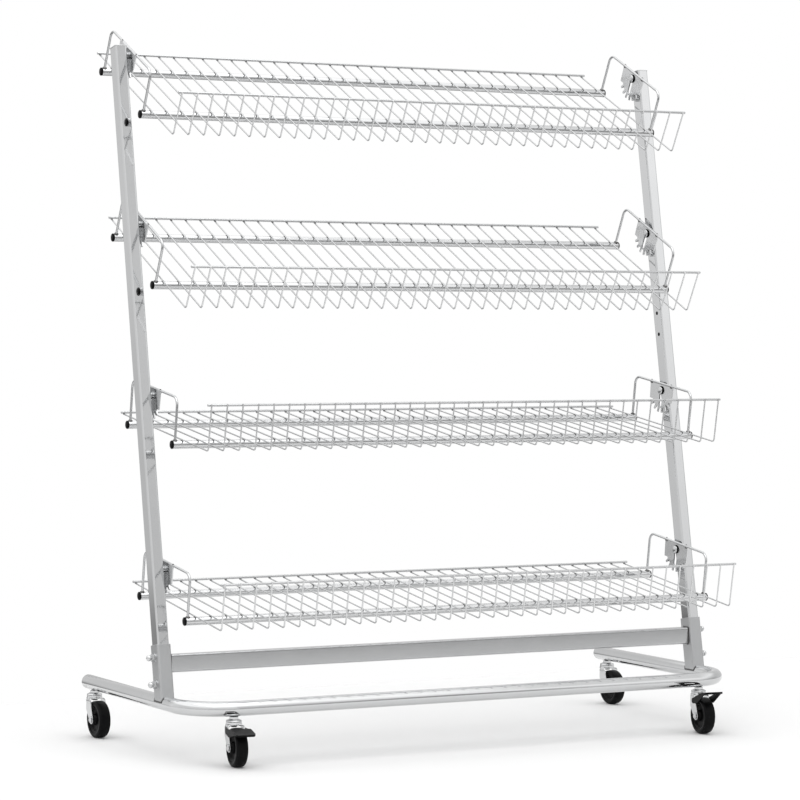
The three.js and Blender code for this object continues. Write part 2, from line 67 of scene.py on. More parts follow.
# The view direction comes from yaw and pitch; right and up are then turned about it by the roll
def addCamera():
    yaw, pitch, roll = (math.radians(viewer[key]) for key in ("yaw", "pitch", "roll"))
    ahead = np.array([math.sin(yaw) * math.cos(pitch), math.cos(yaw) * math.cos(pitch), -math.sin(pitch)])
    right = np.array([math.cos(yaw), -math.sin(yaw), 0.0])
    up = np.cross(right, ahead)
    rolledRight = math.cos(roll) * right + math.sin(roll) * up
    rolledUp = math.cos(roll) * up - math.sin(roll) * right
    camera = bpy.data.objects.new("camera", bpy.data.cameras.new("camera"))
    camera.data.lens = viewer["lens"]
    camera.data.sensor_width = viewer["sensor"]
    camera.data.clip_end = viewer["sight"]
    columns = np.column_stack([rolledRight, rolledUp, -ahead, np.array(viewer["place"])])
    camera.matrix_world = Matrix(np.vstack([columns, [0, 0, 0, 1]]).tolist())
    bpy.context.scene.collection.objects.link(camera)
    bpy.context.scene.camera = camera
    bpy.context.scene.view_settings.view_transform = "Standard"


# Shader sums: a wrapped socket, so that values are written as expressions
class Sock:
    def __init__(self, tree, out=None):
        self.tree, self.out = tree, out

    def make(self, kind, settings=None, values=None, pick=0):
        node = self.tree.nodes.new(kind)
        for key, value in (settings or {}).items():
            if key == "stops":
                self.setStops(node.color_ramp, value)
            else:
                setattr(node, key, value)
        for key, value in (values or {}).items():
            self.feed(node.inputs[key], value)
        return Sock(self.tree, node.outputs[pick])

    def setStops(self, ramp, stops):
        while len(ramp.elements) < len(stops):
            ramp.elements.new(1.0)
        for element, (place, shade) in zip(ramp.elements, stops):
            element.position = place
            element.color = (shade, shade, shade, 1)

    def feed(self, socket, value):
        if isinstance(value, Sock):
            self.tree.links.new(value.out, socket)
        else:
            socket.default_value = value

    def calc(self, operation, first, second=0.0):
        return self.make("ShaderNodeMath", {"operation": operation}, {0: first, 1: second})

    def __add__(self, other): return self.calc("ADD", self, other)
    def __radd__(self, other): return self.calc("ADD", other, self)
    def __rsub__(self, other): return self.calc("SUBTRACT", other, self)
    def __mul__(self, other): return self.calc("MULTIPLY", self, other)
    def __rmul__(self, other): return self.calc("MULTIPLY", other, self)
    def __pow__(self, other): return self.calc("POWER", self, other)


# The first at amount 0, the second at amount 1
def mix(amount, first, second):
    return (1.0 - amount) * first + amount * second


def startMaterial(name, metallic):
    material = bpy.data.materials.new(name)
    material.use_nodes = True
    shader = material.node_tree.nodes["Principled BSDF"]
    shader.inputs["Metallic"].default_value = metallic
    tool = Sock(material.node_tree)
    place = tool.make("ShaderNodeTexCoord", pick="Object")
    return material, shader, tool, place


def noiseOf(tool, place, scale, detail, stretch=(1, 1, 1)):
    stretched = tool.make("ShaderNodeMapping", {}, {"Vector": place, "Scale": stretch})
    return tool.make("ShaderNodeTexNoise", {}, {"Vector": stretched, "Scale": scale, "Detail": detail})


def mixColours(tool, amount, first, second):
    values = {0: amount, 6: (*first, 1), 7: (*second, 1)}
    return tool.make("ShaderNodeMix", {"data_type": "RGBA"}, values, pick=2)


def bumpOf(tool, height, strength, distance):
    return tool.make("ShaderNodeBump", {}, {"Height": height, "Strength": strength, "Distance": distance})


# Bright plating: clouds and polishing streaks in shade and gloss, slow waves and fine pits in the bump.
# Noises are (scale, detail); a share is the second noise's part of the sum
plating = {"cloud": (9.0, 4.0), "streak": (55.0, 3.0), "wave": (26.0, 1.0), "pits": (900.0, 2.0),
           "streakInShade": 0.4, "streakInGloss": 0.6, "pitShare": 0.15, "depth": 0.001}


def platedMaterial(name, dark, light, rough, spread, waviness, grain=(1, 1, 1)):
    material, shader, tool, place = startMaterial(name, 1.0)
    cloud, wave, pits = (noiseOf(tool, place, *plating[key]) for key in ("cloud", "wave", "pits"))
    streak = noiseOf(tool, place, *plating["streak"], grain)
    shade = mix(plating["streakInShade"], cloud, streak)
    gloss = mix(plating["streakInGloss"], cloud, streak)
    tool.feed(shader.inputs["Base Color"], mixColours(tool, shade, dark, light))
    tool.feed(shader.inputs["Roughness"], rough + spread * gloss)
    height = mix(plating["pitShare"], wave, pits)
    tool.feed(shader.inputs["Normal"], bumpOf(tool, height, waviness, plating["depth"]))
    return material


# Bare weld: a slow tint between dark and bright steel, fine scale in the gloss and the bump. The dark end
# is partly real heat tint and partly painted shade: on the spots where the wires cross the tubes it stands
# for the contact shadow there
welding = {"scale": (260.0, 4.0), "tint": (35.0, 2.0), "burntAndShade": (0.05, 0.049, 0.048),
           "bright": (0.20, 0.198, 0.196), "rough": 0.28, "spread": 0.3, "bump": 0.35, "depth": 0.0008}


def weldMaterial():
    material, shader, tool, place = startMaterial("weld_steel", 1.0)
    scale, tint = (noiseOf(tool, place, *welding[key]) for key in ("scale", "tint"))
    tool.feed(shader.inputs["Base Color"], mixColours(tool, tint, welding["burntAndShade"], welding["bright"]))
    tool.feed(shader.inputs["Roughness"], welding["rough"] + scale * welding["spread"])
    tool.feed(shader.inputs["Normal"], bumpOf(tool, scale, welding["bump"], welding["depth"]))
    return material


# Black rubber and moulded plastic: fine grain, and dust where a slow noise cubed is high
moulding = {"dust": (42.0, 5.0), "power": 3.0, "grainDetail": 3.0, "dustDull": 0.2, "grainDull": 0.08,
            "bump": 0.25, "specular": 0.08}


def blackMaterial(name, deep, dusty, rough, grainScale, grainDepth):
    material, shader, tool, place = startMaterial(name, 0.0)
    dust = noiseOf(tool, place, *moulding["dust"]) ** moulding["power"]
    grain = noiseOf(tool, place, grainScale, moulding["grainDetail"])
    dullness = dust * moulding["dustDull"] + grain * moulding["grainDull"]
    tool.feed(shader.inputs["Base Color"], mixColours(tool, dust, deep, dusty))
    tool.feed(shader.inputs["Roughness"], rough + dullness)
    tool.feed(shader.inputs["Normal"], bumpOf(tool, grain, moulding["bump"], grainDepth))
    shader.inputs["Specular IOR Level"].default_value = moulding["specular"]
    return material


# Steel is a little bluer than grey
def steel(grey):
    return grey, grey + 0.005, grey + 0.010


# Finishes: dark and light shade, roughness and its spread, waviness, and the stretch of the streaks.
# The black ones: deep and dusty shade, roughness, grain scale and depth
upright, crosswise = (8, 8, 0.4), (0.4, 8, 8)
finishes = {
    "tube": platedMaterial("chrome_tube", steel(0.57), steel(0.66), 0.05, 0.07, 0.06),
    "post": platedMaterial("chrome_post", steel(0.56), steel(0.66), 0.04, 0.06, 0.03, upright),
    # The beam's chrome is drawn darker than the rest of the plating: painted shade
    "beam": platedMaterial("chrome_beam_painted_shade", steel(0.46), steel(0.54), 0.08, 0.10, 0.05, crosswise),
    # The sleeves' plating is drawn darker than the post's: painted shade
    "sleeve": platedMaterial("satin_sleeve_painted_shade", steel(0.43), steel(0.50), 0.30, 0.12, 0.05, upright),
    "wire": platedMaterial("bright_wire", steel(0.50), steel(0.60), 0.18, 0.14, 0.05),
    # The lip is the same wire as the floor runs, drawn paler: painted light from the bright front
    "lip": platedMaterial("lip_wire_painted_light", steel(0.64), (0.73, 0.733, 0.735), 0.22, 0.14, 0.05),
    "plate": platedMaterial("plated_steel", steel(0.56), steel(0.66), 0.12, 0.12, 0.06),
    "weld": weldMaterial(),
    "rubber": blackMaterial("black_rubber", (0.002, 0.002, 0.0022), (0.009, 0.009, 0.0095), 0.36,
                            700.0, 0.0003),
    "plastic": blackMaterial("black_plastic", (0.0015, 0.0015, 0.0017), (0.006, 0.006, 0.0065), 0.28,
                             1200.0, 0.0002),
}
print("materials made:", len(finishes))


# Grid of points to faces. Rows are rings; the end rings are closed with a fan, or joined in a hollow part
def ringPart(points, hollow=False):
    rows, columns = points.shape[:2]
    index = np.arange(rows * columns).reshape(rows, columns)
    upper = index if hollow else index[:-1]
    lower = np.roll(index, -1, 0) if hollow else index[1:]
    quads = np.stack([upper, np.roll(upper, -1, 1), np.roll(lower, -1, 1), lower], -1).reshape(-1, 4)
    spots = points.reshape(-1, 3)
    triangles = np.zeros((0, 3), int)
    if not hollow:
        first, last = index[0], index[-1]
        poles = len(spots) + np.array([0, 1])
        spots = np.vstack([spots, points[0].mean(0), points[-1].mean(0)])
        start = np.stack([np.full(columns, poles[0]), np.roll(first, -1), first], -1)
        end = np.stack([np.full(columns, poles[1]), last, np.roll(last, -1)], -1)
        triangles = np.vstack([start, end])
    return faceOutwards(spots, quads, triangles)


# A closed shape that encloses less than nothing is inside out
def faceOutwards(spots, quads, triangles):
    halves = np.vstack([quads[:, [0, 1, 2]], quads[:, [0, 2, 3]], triangles])
    a, b, c = spots[halves[:, 0]], spots[halves[:, 1]], spots[halves[:, 2]]
    if np.einsum("ij,ij->", a, np.cross(b, c)) < 0:
        quads, triangles = quads[:, ::-1], triangles[:, ::-1]
    return spots, quads, triangles


# The same shape at several offsets
def copies(part, offsets):
    spots, quads, triangles = part
    shift = (np.arange(len(offsets)) * len(spots))[:, None, None]
    moved = (spots[None] + np.asarray(offsets)[:, None]).reshape(-1, 3)
    return moved, (quads[None] + shift).reshape(-1, 4), (triangles[None] + shift).reshape(-1, 3)


# Bevels on pressed plates and mouldings: steps across an edge, and the least angle in degrees
edging = {"segments": 2, "angle": 50}


# One mesh from several closed parts, shaded smooth up to the sharp angle in degrees
def addPiece(name, parts, body, finish, nodes=(), sharp=38, bevel=0):
    starts = np.cumsum([0] + [len(part[0]) for part in parts])
    spots = np.vstack([part[0] for part in parts])
    faces = []
    for part, start in zip(parts, starts):
        faces += (part[1] + start).tolist() + (part[2] + start).tolist()
    mesh = bpy.data.meshes.new(name)
    mesh.from_pydata(spots.tolist(), [], faces)
    mesh.polygons.foreach_set("use_smooth", np.ones(len(mesh.polygons), bool))
    mesh.set_sharp_from_angle(angle=math.radians(sharp))
    mesh.materials.append(finishes[finish])
    piece = bpy.data.objects.new(name, mesh)
    bpy.context.scene.collection.objects.link(piece)
    if bevel:
        edge = piece.modifiers.new("edge", "BEVEL")
        edge.width, edge.segments, edge.limit_method = bevel, edging["segments"], "ANGLE"
        edge.angle_limit = math.radians(edging["angle"])
        edge.harden_normals = True
    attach(piece, body)
    if nodes:
        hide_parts(*nodes)


# Points from an origin by amounts along axes; amounts may be arrays
def offset(origin, *steps):
    return origin + sum(np.multiply.outer(amount, axis) for amount, axis in steps)


# Circle as points round the edge
def roundOutline(radius, count):
    angle = np.linspace(0, 2 * np.pi, count, endpoint=False)
    return radius * np.stack([np.cos(angle), np.sin(angle)], -1)


# Rectangle with a quarter circle at each corner, and a point a small share of the way along each flat
# beside it, which keeps the flat's shading flat
def boxOutline(width, depth, corner, steps=5, share=0.04):
    quarter = np.linspace(0, np.pi / 2, steps + 1)
    angle = quarter[None] + np.arange(4)[:, None] * np.pi / 2
    corners = np.array([[1, 1], [-1, 1], [-1, -1], [1, -1]]) * (np.array([width, depth]) / 2 - corner)
    arcs = corners[:, None] + corner * np.stack([np.cos(angle), np.sin(angle)], -1)
    before, after = arcs[:, :1], arcs[:, -1:]
    runIn = before + share * (np.roll(after, 1, 0) - before)
    runOut = after + share * (np.roll(before, -1, 0) - after)
    return np.concatenate([runIn, arcs, runOut], 1).reshape(-1, 2)


# Points added along each side of a closed outline, no further apart than the gap
def spaced(corners, gap):
    following = np.roll(corners, -1, 0)
    counts = np.maximum(1, np.ceil(np.linalg.norm(following - corners, axis=1) / gap)).astype(int)
    which = np.repeat(np.arange(len(corners)), counts)
    number = np.arange(counts.sum()) - np.repeat(np.cumsum(counts) - counts, counts)
    share = number / np.repeat(counts, counts)
    return corners[which] + share[:, None] * (following - corners)[which]


# Straight runs joined by arcs that touch both of them
def bentLine(corners, radius, steps):
    corners = np.asarray(corners, float)
    rows = [corners[:1]]
    for before, corner, after in zip(corners[:-2], corners[1:-1], corners[2:]):
        inward, outward = unit(corner - before), unit(after - corner)
        turn = np.arccos(inward @ outward)
        side = unit(outward - inward * np.cos(turn))
        angle = np.linspace(0, turn, steps + 1)[:, None]
        start = corner - inward * radius * np.tan(turn / 2)
        rows.append(start + radius * (np.sin(angle) * inward + (1 - np.cos(angle)) * side))
    return np.vstack(rows + [corners[-1:]])


# Direction of a path at each point: the mean of the steps before and after it
def pathDirection(path):
    step = unit(np.diff(path, axis=0))
    return unit(np.vstack([step[:1], step[:-1] + step[1:], step[-1:]]))


# An outline carried along a flat path; its second axis stays along the path plane's normal
def sweep(path, outline, normal, size=1.0):
    inPlane = np.cross(normal, pathDirection(path))
    spread = np.broadcast_to(np.asarray(size, float), len(path))[:, None, None]
    across = outline[None, :, :1] * inPlane[:, None] + outline[None, :, 1:] * normal
    return path[:, None] + spread * across


# A profile of (radius, height) rows turned about an axis; a hollow one is closed from last row to first
def turned(rows, middle, axis, start, count, hollow=False):
    rows = np.asarray(rows, float)
    angle = np.linspace(0, 2 * np.pi, count, endpoint=False)[:, None]
    spoke = np.cos(angle) * start + np.sin(angle) * np.cross(axis, start)
    return ringPart(middle + rows[:, None, :1] * spoke[None] + rows[:, None, 1:] * axis, hollow)


# Quarter of an ellipse as (radius, height) rows, from the rim to just short of the top
def domeRows(radius, foot, rise, steps):
    angle = np.linspace(0, np.pi / 2, steps + 1)[:-1]
    return np.column_stack([radius * np.cos(angle), foot + rise * np.sin(angle)])


# A rod with slightly rounded ends
def rod(start, end, radius, count, edge=0.0004):
    length = np.linalg.norm(end - start)
    axis = (end - start) / length
    alongX = abs(axis[0]) > 0.9
    spoke = unit(np.cross(axis, yAxis if alongX else xAxis))
    rows = [(radius - edge, 0), (radius, edge), (radius, length - edge), (radius - edge, length)]
    return turned(rows, start, axis, spoke, count)


# Hexagon with chamfered rims, between a low and a high level along the axis
def hexPart(middle, axis, spoke, acrossFlats, low, high, chamfer=0.0008, slope=0.6):
    corner, drop = acrossFlats / math.sqrt(3), chamfer * slope
    rows = [(corner - chamfer, low), (corner, low + drop), (corner, high - drop), (corner - chamfer, high)]
    return turned(rows, middle, axis, spoke, 6)


# Weld bead: a small circle carried round a closed edge, its size a wave with a slower one on top
ripple = {"main": 0.16, "slow": 0.08, "slowShare": 0.37, "slowStart": 1.0, "sides": 8}


def bead(edge, outward, along, radius, ripples):
    turn = np.linspace(0, 2 * np.pi, len(edge), endpoint=False)
    slowRipples = math.floor(ripples * ripple["slowShare"])
    slowWave = ripple["slow"] * np.sin(turn * slowRipples + ripple["slowStart"])
    size = radius * (1 + ripple["main"] * np.sin(turn * ripples) + slowWave)
    circle = roundOutline(1.0, ripple["sides"])
    ring = circle[None, :, :1] * outward[:, None] + circle[None, :, 1:] * along
    return ringPart(edge[:, None] + size[:, None, None] * ring, hollow=True)


# Welding spots: low domes on a spot and a normal. Each has its radius, its height, and how far it is sunk
nuggetRows = np.array([(1.0, -0.2), (0.93, 0.35), (0.6, 0.85), (0.18, 1.0)])  # shares of radius and height
nuggetSides = 7
spotWelds = {"tube": {"size": (0.0036, 0.0021), "sink": 0.0004},
             "rail": {"size": (0.0026, 0.0022), "sink": 0.0009},
             "lip": {"size": (0.0026, 0.0022), "sink": 0.0008},
             "loopFoot": {"size": (0.0052, 0.0034), "sink": 0.0006},
             "tack": {"size": (0.0048, 0.0030), "sink": 0.0010, "out": 0.0012}}


def nugget(kind, middle, axis, spoke):
    return turned(nuggetRows * spotWelds[kind]["size"], middle, axis, spoke, nuggetSides)


# Leaning posts: the pivots of the shelves tell the lean
post = {"width": 0.024, "depth": 0.030, "corner": 0.003, "foot": 0.0205, "top": 1.306, "firstPivot": 0.260}
pivots = [jointPlace[f"shelf_{tier}_tilt"] for tier in tiers]
upPost = unit(pivots[-1] - pivots[0])
backPost = np.cross(upPost, xAxis)
postX = float(sum(corner.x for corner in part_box("sleeve_right")) / 2)
postFoot = pivots[0] - post["firstPivot"] * upPost
postFace = postX - post["width"] / 2  # inner face

# Post cap: its lip, its height, and rows of (share of the outline, share of the height)
cap = {"lip": 0.0006, "height": 0.0022, "rows": [(1.0, 0.0), (1.0, 0.55), (0.96, 0.9), (0.80, 1.0)]}
peg = {"drop": 0.046, "radius": 0.0045, "sink": 0.0005, "end": 0.5976, "sides": 20}
# Plugs of the spare holes, as (radius, height) rows
sparePlug = {"level": 0.771, "sides": 20,
             "rows": [(0.004, -0.0005), (0.004, 0.0001), (0.0036, 0.0004), (0.002, 0.0006),
                      (0.0004, 0.0007)]}


def onPost(side, across, depth, height):
    return offset(postFoot + xAxis * (side * postX), (across, xAxis), (depth, backPost), (height, upPost))


# Outline of the post widened by a margin all round
def postOutline(margin, corner, steps=5):
    return boxOutline(post["width"] + 2 * margin, post["depth"] + 2 * margin, corner, steps)


# Rings of one outline, each scaled and lifted along the post
def stackOnPost(side, outline, scales, heights):
    rings = np.multiply.outer(scales, outline)
    height = np.broadcast_to(np.array(heights)[:, None], rings.shape[:2])
    return onPost(side, rings[..., 0], rings[..., 1], height)


# Post: a box outline from the foot to the cap; the cap is its outline with a lip, drawn in towards the top
def addPost(label, side):
    capFoot = post["top"] - cap["height"]
    shaft = stackOnPost(side, postOutline(0.0, post["corner"]), [1.0, 1.0], [post["foot"], capFoot])
    addPiece(f"post_tube_{label}", [ringPart(shaft)], "frame", "post", [f"post_{label}"])
    scales, levels = np.transpose(cap["rows"])
    lipped = postOutline(cap["lip"], post["corner"])
    lid = stackOnPost(side, lipped, scales, capFoot + levels * cap["height"])
    addPiece(f"post_cap_{label}", [ringPart(lid)], "frame", "plate")
    start, end = (xAxis * side * x - peg["drop"] * upPost for x in (postFace + peg["sink"], peg["end"]))
    pegs = [rod(pivot + start, pivot + end, peg["radius"], peg["sides"]) for pivot in pivots]
    addPiece(f"lock_pegs_{label}", pegs, "frame", "tube")
    levels = (sparePlug["level"], sparePlug["level"] - peg["drop"])
    spots = [onPost(side, -side * post["width"] / 2, 0.0, level) for level in levels]
    plugs = [turned(sparePlug["rows"], spot, -side * xAxis, upPost, sparePlug["sides"]) for spot in spots]
    addPiece(f"spare_hole_plugs_{label}", plugs, "frame", "plastic")


# Sleeve: rows are (share of the outer skin, height from the rim); the first and last are its lower edge
sleeve = {"wall": 0.002, "fit": 0.0005, "height": 0.113, "corner": 0.004, "legRadius": 0.0145,
          "leastFoot": 0.003,
          "rows": [(1.0, 0.0), (1.0, -0.0005), (0.75, 0.0), (0.25, 0.0), (0.0, -0.0005), (0.0, 0.0)],
          "weld": 0.0017, "weldSteps": 24, "ripples": 21}
sleeveMargin = sleeve["fit"] + sleeve["wall"]


# Height of the lower edge up the leaning post, where it meets the round leg
def sleeveFootHeight(across, depth):
    lean = math.atan2(upPost[1], upPost[2])
    drop = np.sqrt(np.maximum(sleeve["legRadius"] ** 2 - across ** 2, sleeve["leastFoot"] ** 2))
    return (drop + depth * math.sin(lean)) / math.cos(lean)


# A box tube with a rounded rim whose lower edge follows the leg, with a bead round that edge. Its finish
# is the post's plating drawn darker: painted shade
def addSleeve(label, side):
    bore = postOutline(sleeve["fit"], sleeve["corner"] - sleeve["wall"])
    skin = postOutline(sleeveMargin, sleeve["corner"])
    shares, levels = np.transpose(sleeve["rows"])
    outline = mix(shares[:, None, None], bore, skin)
    foot = sleeveFootHeight(outline[..., 0], outline[..., 1])
    height = np.broadcast_to((sleeve["height"] + levels)[:, None], foot.shape).copy()
    height[0], height[-1] = foot[0], foot[-1]
    wall = onPost(side, outline[..., 0], outline[..., 1], height)
    shell = ringPart(wall, hollow=True)
    addPiece(f"post_sleeve_{label}", [shell], "frame", "sleeve", [f"sleeve_{label}"])
    fine = postOutline(sleeveMargin, sleeve["corner"], sleeve["weldSteps"])
    edge = onPost(side, fine[:, 0], fine[:, 1], sleeveFootHeight(fine[:, 0], fine[:, 1]))
    outward = unit(offset(np.zeros(3), (fine[:, 0], xAxis), (fine[:, 1], backPost)))
    weld = bead(edge, outward, upPost, sleeve["weld"], sleeve["ripples"])
    addPiece(f"sleeve_weld_{label}", [weld], "frame", "weld")


# Sleeve bolts on the outer face: washer, nut and a domed end on a short neck
bolt = {"levels": {"lower": 0.036, "upper": 0.088}, "hole": 0.0045, "washer": 0.009, "washerThick": 0.0016,
        "washerLift": 0.0001, "washerEdge": 0.0003, "washerSides": 32, "nut": 0.013, "nutHigh": 0.0065,
        "neck": 0.004, "neckSink": 0.002, "neckLong": 0.0025, "dome": 0.0062, "domeEdge": 0.0004,
        "domeFoot": 0.0012, "domeLong": 0.0068, "domeSteps": 6, "domeSides": 28}


# Three turned profiles on one axis out of the sleeve
def addBolts(label, side):
    out = side * xAxis
    hole, wide, thick, lip = (bolt[key] for key in ("hole", "washer", "washerThick", "washerEdge"))
    washer = [(hole, 0), (wide, bolt["washerLift"]), (wide, thick - lip), (wide - lip, thick),
              (hole, thick)]
    nutTop = thick + bolt["nutHigh"]
    foot = nutTop + bolt["neckLong"]
    neck = [(bolt["neck"], nutTop - bolt["neckSink"]), (bolt["neck"], foot),
            (bolt["dome"] - bolt["domeEdge"], foot)]
    rise = bolt["domeLong"] - bolt["domeFoot"]
    dome = np.vstack([neck, domeRows(bolt["dome"], foot + bolt["domeFoot"], rise, bolt["domeSteps"])])
    for level, height in bolt["levels"].items():
        seat = onPost(side, side * (post["width"] / 2 + sleeveMargin), 0.0, height)
        parts = [turned(washer, seat, out, upPost, bolt["washerSides"], hollow=True),
                 hexPart(seat, out, upPost, bolt["nut"], thick, nutTop),
                 turned(dome, seat, out, upPost, bolt["domeSides"])]
        addPiece(f"bolt_{label}_{level}", parts, "frame", "tube", [f"sleeve_bolt_{label}_{level}"])


# Base: one round tube bent to a U, with domed rear ends
base = {"radius": 0.0145, "bend": 0.090, "bendSteps": 24, "sides": 48, "dome": 0.006, "domeSteps": 6}


# A circle carried along the U; past each end it shrinks by the cosine as it goes on by the sine
def addBase():
    low, high = (np.array(corner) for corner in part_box("base_tube"))
    axisZ = (low[2] + high[2]) / 2
    legX = high[0] - base["radius"]
    frontY = low[1] + base["radius"]
    rearY = high[1] - base["dome"]
    corners = [(-legX, rearY, axisZ), (-legX, frontY, axisZ), (legX, frontY, axisZ), (legX, rearY, axisZ)]
    line = bentLine(corners, base["bend"], base["bendSteps"])
    angle = np.linspace(0, np.pi / 2, base["domeSteps"] + 1)[1:-1]
    ending = np.multiply.outer(base["dome"] * np.sin(angle), yAxis)
    path = np.vstack([(line[0] + ending)[::-1], line, line[-1] + ending])
    size = np.concatenate([np.cos(angle)[::-1], np.ones(len(line)), np.cos(angle)])
    tube = sweep(path, roundOutline(base["radius"], base["sides"]), zAxis, size)
    addPiece("base_u_tube", [ringPart(tube)], "frame", "tube", ["base_tube"])


# Cross beam between the sleeves, with a weld round each end. Its chrome is drawn darker than the posts':
# painted shade
beam = {"corner": 0.003, "cornerSteps": 6, "weld": 0.0018, "weldSteps": 24, "ripples": 17}


# One box outline at both ends, and a bead round each
def addBeam():
    low, high = (np.array(corner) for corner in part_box("cross_beam"))
    middle = (low + high) / 2 * np.array([0, 1, 1])
    depth, height = (high - low)[1:]
    ends = [low[0], high[0]]
    outline, fine = (boxOutline(depth, height, beam["corner"], beam[key])
                     for key in ("cornerSteps", "weldSteps"))
    rings = [offset(middle + end * xAxis, (outline[:, 0], yAxis), (outline[:, 1], zAxis)) for end in ends]
    addPiece("beam_tube", [ringPart(np.stack(rings))], "frame", "beam", ["cross_beam"])
    rim = offset(np.zeros(3), (fine[:, 0], yAxis), (fine[:, 1], zAxis))
    beads = [bead(middle + end * xAxis + rim, unit(rim), xAxis, beam["weld"], beam["ripples"])
             for end in ends]
    addPiece("beam_welds", beads, "frame", "weld")


# Shelves: round wires bent up at the front, on two tubes closed with plugs
shelf = {"wireRadius": 0.0015, "wireSides": 10, "railRadius": 0.0025, "railSides": 14, "pitch": 0.033,
         "count": 36, "rearReach": 0.0705, "railBack": 0.069, "frontReach": 0.121, "bend": 0.006,
         "bendSteps": 7, "lipHeight": 0.0885, "lipLean": 2.0, "overhang": 0.0068, "sink": 0.0004}
railTube = {"radius": 0.008, "wall": 0.0012, "rim": 0.0003, "sides": 40}
tubeHalf = float(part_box("shelf_1_rear_tube")[1].x)
# Plugs in the tubes' ends; the crown's rows are shares of the flange's radius and of the dome's height
plug = {"depth": 0.012, "fit": 0.0002, "seat": 0.0001, "lip": 0.0003, "thick": 0.0026, "edge": 0.0006,
        "dome": 0.0010, "crown": [(0.55, 0.8), (0.15, 1.0)], "sides": 28}


# Shelf axes: forwards along the floor and up from it, from the two tubes' middles
class ShelfFrame:
    def __init__(self, tier):
        boxes = (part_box(f"shelf_{tier}_{label}_tube") for label in ("rear", "front"))
        rear, front = ((np.array(low) + np.array(high)) / 2 for low, high in boxes)
        self.origin = rear
        self.gauge = np.linalg.norm(front - rear)
        self.ahead = unit(front - rear)
        self.up = np.cross(self.ahead, xAxis)

    def at(self, x, a, b):
        return offset(self.origin, (x, xAxis), (a, self.ahead), (b, self.up))


# One wire is a circle carried along a floor run and an upright run with a bend between; it is repeated
# along x. One rail lies across the wires' rear ends and one behind the lip's top, with a weld on each wire
def addShelfWires(tier, place):
    level = railTube["radius"] + shelf["wireRadius"] - shelf["sink"]
    front = place.gauge + shelf["frontReach"]
    lean = math.radians(shelf["lipLean"])
    rise = shelf["lipHeight"] + shelf["railRadius"]
    corners = place.at(np.zeros(3), np.array([-shelf["rearReach"], front, front + rise * math.tan(lean)]),
                       np.array([level, level, level + rise]))
    path = bentLine(corners, shelf["bend"], shelf["bendSteps"])
    rings = sweep(path, roundOutline(shelf["wireRadius"], shelf["wireSides"]), xAxis)
    offsets = (np.arange(shelf["count"]) - (shelf["count"] - 1) / 2) * shelf["pitch"]
    end = offsets[-1] + shelf["overhang"]
    stack = shelf["wireRadius"] + shelf["railRadius"] - shelf["sink"]
    lipA = front + shelf["lipHeight"] * math.tan(lean) - stack * math.cos(lean)
    lipB = level + shelf["lipHeight"] + stack * math.sin(lean)

    def everyWire(part):
        return copies(part, np.multiply.outer(offsets, xAxis))

    def rail(a, b):
        return rod(place.at(-end, a, b), place.at(end, a, b), shelf["railRadius"], shelf["railSides"])

    def spots(kind, a, b, normal, spoke):
        return everyWire(nugget(kind, place.at(0.0, a, b), normal, spoke))

    body = f"shelf_{tier}"
    floor = [everyWire(ringPart(rings[:-1])), rail(-shelf["railBack"], level + stack), rail(lipA, lipB)]
    addPiece(f"{body}_wires", floor, body, "wire", [f"{body}_floor_wires"])
    joins = spots("lip", lipA + stack - spotWelds["lip"]["sink"], lipB, -place.ahead, place.up)
    # The upright runs take the paler lip finish: painted light
    addPiece(f"{body}_lip", [everyWire(ringPart(rings[-2:])), joins], body, "lip", [f"{body}_lip_wires"])
    onTube = railTube["radius"] - spotWelds["tube"]["sink"]
    onWire = level + shelf["wireRadius"] - spotWelds["rail"]["sink"]
    # Dark spots where the wires cross the tubes: real welds, whose dark steel is also painted contact
    # shadow
    welds = [spots("tube", a, onTube, place.up, place.ahead) for a in (0.0, place.gauge)]
    welds.append(spots("rail", -shelf["railBack"], onWire, place.up, place.ahead))
    addPiece(f"{body}_wire_welds", welds, body, "weld")


# Tubes are a closed profile turned about x, and a plug is a flanged cork turned about each end
def addShelfTubes(tier, place):
    outer, inner, rim = railTube["radius"], railTube["radius"] - railTube["wall"], railTube["rim"]
    rows = [(outer - rim, -tubeHalf), (outer, rim - tubeHalf), (outer, tubeHalf - rim),
            (outer - rim, tubeHalf), (inner, tubeHalf), (inner, -tubeHalf)]
    flange, thick, edge = outer + plug["lip"], plug["thick"], plug["edge"]
    stem = inner - plug["fit"]
    cork = [(stem, -plug["depth"]), (stem, plug["seat"]), (flange, plug["seat"]), (flange, thick - edge),
            (flange - edge, thick)] + [(flange * r, thick + plug["dome"] * h) for r, h in plug["crown"]]
    body = f"shelf_{tier}"
    for label, a in (("rear", 0.0), ("front", place.gauge)):
        pipe = turned(rows, place.at(0.0, a, 0.0), xAxis, place.up, railTube["sides"], hollow=True)
        addPiece(f"{body}_{label}_rail_tube", [pipe], body, "tube", [f"{body}_{label}_tube"])
        ends = [(side * xAxis, place.at(side * tubeHalf, a, 0.0)) for side in sideSigns.values()]
        corks = [turned(cork, end, out, place.up, plug["sides"]) for out, end in ends]
        addPiece(f"{body}_{label}_plugs", corks, body, "plastic")


# Shelf ends: a bent wire loop on the tubes, and a plate with fingers below it that hangs on the stud.
# Pitch is the fingers' step in degrees, overlap a share of the loop's radius, tackReach one of the length,
# band how far from the slot to the edge the flat's inner ring lies
loop = {"radius": 0.0025, "sides": 16, "inset": 0.005, "height": 0.092, "bend": 0.0168, "bendSteps": 12}
plate = {"lap": 0.0015, "thick": 0.0025, "length": 0.087, "belowLoop": 0.015, "overlap": 0.4,
         "shoulder": 0.022, "cornerInset": 0.002, "ring": 0.038, "tip": 0.048, "fingers": 6, "pitch": 18,
         "fingerWidth": 0.0045, "slot": 0.0050, "slotLong": 0.030, "gap": 0.0025, "band": 0.8,
         "tackReach": 0.44, "sharp": 30, "bevel": 0.0004}
plateNear = tubeHalf - loop["inset"] + plate["lap"]
plateFar = plateNear + plate["thick"]


